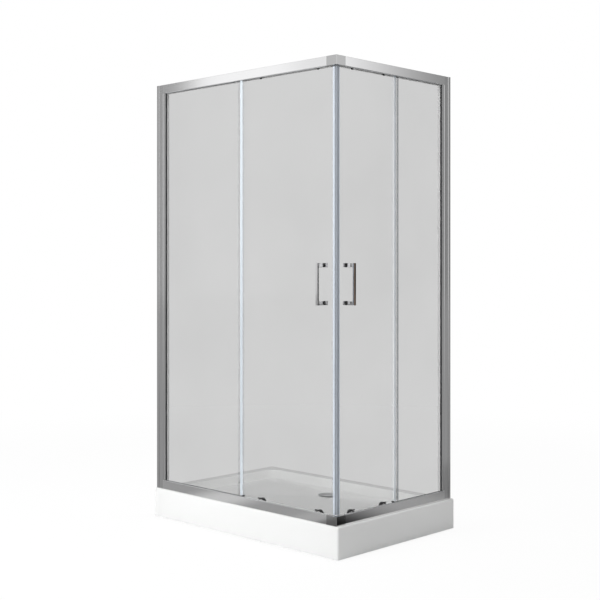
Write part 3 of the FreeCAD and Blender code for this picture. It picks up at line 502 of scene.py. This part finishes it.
class SHOWER_OT_waste(bpy.types.Operator):
    """Dress the waste in the floor of the tray"""
    bl_idname = "shower.waste"
    bl_label = "Waste"

    def execute(self, context):
        chrome = polished_metal("waste_chrome", (0.72, 0.73, 0.74), roughness=0.1)
        white = moulded("waste_white_plastic", (0.8, 0.8, 0.78), roughness=0.4, grain=500.0)
        rubber = moulded("waste_rubber", (0.03, 0.03, 0.03), roughness=0.6, grain=700.0)
        dress(chrome, "waste_flange", "waste_cover")
        dress(white, "waste_trap", "hair_strainer")
        dress(rubber, "waste_seal")
        return {"FINISHED"}


class SHOWER_OT_profiles(bpy.types.Operator):
    """Dress the aluminium rails, posts and wall channels"""
    bl_idname = "shower.profiles"
    bl_label = "Rails and posts"

    def execute(self, context):
        colour = tuple(context.scene.shower_colours.frame)
        for side, (along, across) in SIDES.items():
            rail = metal("rail_aluminium_" + side, colour, roughness=0.07, grain=420.0, streak=0.04,
                         drawn=along, inside=(across, *RAIL_INSIDE))
            dress(rail, "bottom_rail_" + side, "top_rail_" + side)
            # Painted shade: the posts and wall channels take the frame colour darkened to 0.85
            upright = metal("post_aluminium_" + side, shade(colour, 0.85), roughness=0.09, grain=420.0,
                            streak=0.05, drawn="Z", inside=(across, *POST_INSIDE))
            dress(upright, "wall_post_" + side, "wall_channel_" + side)
        block = metal("block_silver", shade(colour, 0.62), roughness=0.1, grain=130.0, streak=0.03)
        dress(block, "corner_block_top", "corner_block_bottom", "screw_caps")
        return {"FINISHED"}


class SHOWER_OT_glass(bpy.types.Operator):
    """Dress the fixed panes and the door panes"""
    bl_idname = "shower.glass"
    bl_label = "Glass"

    def execute(self, context):
        colours = context.scene.shower_colours
        tint = tuple(colours.glass)
        for side in SIDES:
            dress(clear_pane("door_pane_" + side, tint, colours.glass_cover, side), "door_glass_" + side)
        dress(clear_pane("fixed_pane", tint, colours.glass_cover), *both("fixed_glass"))
        return {"FINISHED"}


class SHOWER_OT_seals(bpy.types.Operator):
    """Dress the seals, gaskets and buffers"""
    bl_idname = "shower.seals"
    bl_label = "Seals"

    def execute(self, context):
        colour = tuple(context.scene.shower_colours.seal)
        edge_looks = {"front": {"cover": 0.95, "sheen": 0.35}, "side": {"cover": 0.5, "sheen": 0.0}}
        for side, (along, across) in SIDES.items():
            corner = clear_strip("corner_seal_" + side, colour, pale=1.65, dark=0.58, cover=0.8,
                                 sheen=0.2, face=(along, *CORNER_SEAL_FACE[side]),
                                 vein=(along, *CORNER_SEAL_VEIN[side]))
            dress(corner, "magnet_seal_" + side)
            edge = clear_strip("edge_seal_" + side, colour, pale=1.75, dark=1.45, **edge_looks[side],
                               face=(across, *EDGE_SEAL_FACE))
            dress(edge, "fixed_edge_seal_" + side)
            gasket = lipped_gasket("gasket_" + side, across, (0.42, 0.43, 0.44), (0.03, 0.03, 0.032))
            dress(gasket, "glazing_gaskets_" + side)
        thin = clear_strip("thin_seal", colour, pale=1.6, dark=1.4, cover=0.05, sheen=0.0)
        dress(thin, "trailing_seal_front")
        # Painted shade: the side's trailing seal is coloured darker than the other clear seals, for its
        # shade behind the fixed pane
        deep = clear_strip("deep_seal", colour, pale=0.8, dark=0.5, cover=0.6, sheen=0.2,
                           face=("X", *DEEP_SEAL_FACE))
        dress(deep, "trailing_seal_side")
        dress(moulded("buffer_rubber", (0.05, 0.05, 0.052), roughness=0.6, grain=500.0), "door_buffers")
        dress(moulded("guide_plastic", (0.06, 0.06, 0.065), roughness=0.45, grain=700.0), "seam_guides")
        return {"FINISHED"}


class SHOWER_OT_handles(bpy.types.Operator):
    """Dress the handles with their grommets and inside knobs"""
    bl_idname = "shower.handles"
    bl_label = "Handles"

    def execute(self, context):
        bright = (0.86, 0.86, 0.87, 1.0)
        # Painted dark reflections on the grips: grey on the front, brown-black on the side
        painted_reflection = {"front": grey(0.3), "side": (0.24, 0.18, 0.14, 1.0)}
        for side in SIDES:
            chrome = handle_chrome("handle_chrome_" + side, bright, painted_reflection[side], GRIP_PAINTED_REFLECTION[side])
            dress(chrome, "door_handle_" + side, "handle_knobs_" + side)
        rubber = moulded("grommet_rubber", (0.025, 0.025, 0.026), roughness=0.5, grain=900.0)
        dress(rubber, *both("handle_grommets"))
        return {"FINISHED"}


class SHOWER_OT_rollers(bpy.types.Operator):
    """Dress the wheels, their hangers, housings and release levers"""
    bl_idname = "shower.rollers"
    bl_label = "Rollers"

    def execute(self, context):
        dark = (0.022, 0.022, 0.024)
        black = moulded("roller_black_plastic", dark, roughness=0.42, grain=900.0)
        white = moulded("wheel_white_plastic", (0.86, 0.86, 0.84), roughness=0.32, grain=500.0)
        screw = metal("housing_screw_chrome", (0.75, 0.75, 0.76), roughness=0.2, grain=300.0, streak=0.05)
        dress(black, *both("upper_roller_hangers", "lower_roller_housings"))
        dress(screw, *both("housing_screws"))
        for side, (_, across) in SIDES.items():
            carrier = black_with_axle("carrier_" + side, dark, across)
            dress(carrier, *["release_carrier_" + side + "_" + end for end in ENDS])
        for end in ENDS:
            dress(white, *[name + "_" + end for name in both("upper_wheel", "lower_wheel")])
        return {"FINISHED"}


def studio_surface(name, colour, lit):
    """A pale stage surface that the camera sees near white, with the shadows on it, and metal sees grey.

    Lit is how far it is whitened close to the part; farther out it is fully white."""
    finish = Finish(name, Roughness=0.9)
    finish.set(Base_Color=colour)
    far = finish.reach()
    seen = finish.ray("Camera").most(finish.ray("Transmission"))
    glow = finish.add("ShaderNodeEmission", {}, {"Strength": 1.0})
    whitened = finish.mixed(seen * (lit + (1.0 - lit) * finish.ease(far, 1.2, 4.5)), finish.shader, glow)
    across = finish.along("X")
    deep = finish.along("Y")
    ahead = finish.ease(across - 1.25 * deep, 0.0, 0.5)
    ahead = ahead * (1.0 - finish.ease(deep - 1.36 * across, -0.9, -0.4))
    mirror = FLOOR_LEVEL + FLOOR_FAR * finish.ease(far, 2.5, 12.0) * ahead
    for change, spans_x, spans_y in FLOOR_PATCHES:
        mirror = mirror + change * (finish.band(across, *spans_x) * finish.band(deep, *spans_y))
    mirrored = finish.add("ShaderNodeEmission", {}, {"Color": mirror})
    finish.feed(finish.output.inputs["Surface"], finish.mixed(finish.ray("Glossy"), whitened, mirrored))
    return finish.material


def flat_sheet(name, matrix, material):
    """A square stage sheet, one metre wide before its matrix."""
    grid = bmesh.new()
    bmesh.ops.create_grid(grid, x_segments=1, y_segments=1, size=0.5)
    bmesh.ops.transform(grid, matrix=matrix, verts=grid.verts)
    mesh = bpy.data.meshes.new(name)
    grid.to_mesh(mesh)
    grid.free()
    mesh.materials.append(material)
    sheet = bpy.data.objects.new(name, mesh)
    bpy.context.scene.collection.objects.link(sheet)


def soft_lamp(name, place, target, size, watts):
    """A square soft lamp, aimed at a point."""
    lamp = bpy.data.lights.new(name, "AREA")
    lamp.shape = "SQUARE"
    lamp.size = size
    lamp.energy = watts
    thing = bpy.data.objects.new(name, lamp)
    thing.location = place
    thing.rotation_euler = (Vector(target) - Vector(place)).to_track_quat("-Z", "Y").to_euler()
    thing.visible_camera = False
    thing.visible_glossy = False
    bpy.context.scene.collection.objects.link(thing)


def studio_surround():
    """White for the camera and through glass, a softer light, and a studio with dark sides for metal."""
    world = bpy.data.worlds.new("studio_surround")
    shading = Shading(world)
    way = shading.add("ShaderNodeTexCoord", {}, {}, "Generated")
    across, deep, rise = [shading.add("ShaderNodeSeparateXYZ", {}, {"Vector": way}, k) for k in range(3)]
    turn = shading.maths("ARCTAN2", deep, across) * (180.0 / pi)
    studio = MIRROR_LEVEL
    for dark, turns, rises in SURROUND_SHADES:
        part = shading.band(turn, *turns)
        if rises:
            part = part * shading.band(rise, *rises)
        studio = studio * (1.0 - dark * part)
    left = shading.ease(turn, *LEFT_FROM) * (1.0 - shading.ease(turn, *LEFT_TO))
    left_low = left * shading.band(rise, *LEFT_LOW)
    studio = studio * (1.0 - LEFT_DARK * left) * (1.0 - LEFT_LOW_DARK * left_low)
    studio = studio * (1.0 - OVERHEAD_DARK * shading.ease(rise, *OVERHEAD))
    white = shading.ray("Camera").most(shading.ray("Transmission"))
    light = LIGHT_LEVEL + (1.0 - LIGHT_LEVEL) * white
    glossy = shading.ray("Glossy")
    strength = light * (1.0 - glossy) + studio * glossy
    background = shading.add("ShaderNodeBackground", {}, {"Color": grey(1.0), "Strength": strength})
    shading.add("ShaderNodeOutputWorld", {}, {"Surface": background}, None)
    bpy.context.scene.world = world


class SHOWER_OT_stage(bpy.types.Operator):
    """Set up the floor, the lamps, the surround and the camera"""
    bl_idname = "shower.stage"
    bl_label = "Stage"

    def execute(self, context):
        scene = context.scene
        sizes = scene.shower_sizes
        floor = Matrix.Translation((0.0, 0.0, CAD_BOX[0][2])) @ Matrix.Scale(sizes.floor_size, 4)
        flat_sheet("studio_floor", floor, studio_surface("studio_floor_white", grey(0.9), 0.92))
        for name, (place, target, size, share) in LAMPS.items():
            soft_lamp(name, place, target, size, scene.shower_colours.lamp * share)
        studio_surround()
        lens = bpy.data.cameras.new("photo_camera")
        lens.sensor_width = 36.0
        lens.lens = sizes.lens
        lens.shift_y = CAMERA_SHIFT
        camera = bpy.data.objects.new("photo_camera", lens)
        camera.location = CAMERA_PLACE
        camera.rotation_euler = (radians(90.0), 0.0, radians(CAMERA_TURN))
        scene.collection.objects.link(camera)
        scene.camera = camera
        scene.view_settings.view_transform = "Standard"
        return {"FINISHED"}


class SHOWER_PT_panel(bpy.types.Panel):
    """Lists the sizes, the colours and the steps"""
    bl_idname = "SHOWER_PT_panel"
    bl_label = "Shower enclosure"
    bl_space_type = "VIEW_3D"
    bl_region_type = "UI"
    bl_category = "Shower"

    def draw(self, context):
        for group in (context.scene.shower_sizes, context.scene.shower_colours):
            for name in group.__annotations__:
                self.layout.prop(group, name)
        for step in STEPS:
            self.layout.operator(step.bl_idname)


STEPS = (SHOWER_OT_tray, SHOWER_OT_supports, SHOWER_OT_waste, SHOWER_OT_profiles, SHOWER_OT_glass,
         SHOWER_OT_seals, SHOWER_OT_handles, SHOWER_OT_rollers, SHOWER_OT_stage)
CLASSES = (ShowerSizes, ShowerColours, *STEPS, SHOWER_PT_panel)


def register():
    """Add the classes and the settings to Blender."""
    for item in CLASSES:
        bpy.utils.register_class(item)
    bpy.types.Scene.shower_sizes = bpy.props.PointerProperty(type=ShowerSizes)
    bpy.types.Scene.shower_colours = bpy.props.PointerProperty(type=ShowerColours)


def unregister():
    """Take the classes and the settings out of Blender."""
    del bpy.types.Scene.shower_colours
    del bpy.types.Scene.shower_sizes
    for item in reversed(CLASSES):
        bpy.utils.unregister_class(item)


def main():
    """Build the scene."""
    register()
    for step in STEPS:
        group, name = step.bl_idname.split(".")
        getattr(getattr(bpy.ops, group), name)()


if __name__ == "__main__":
    main()
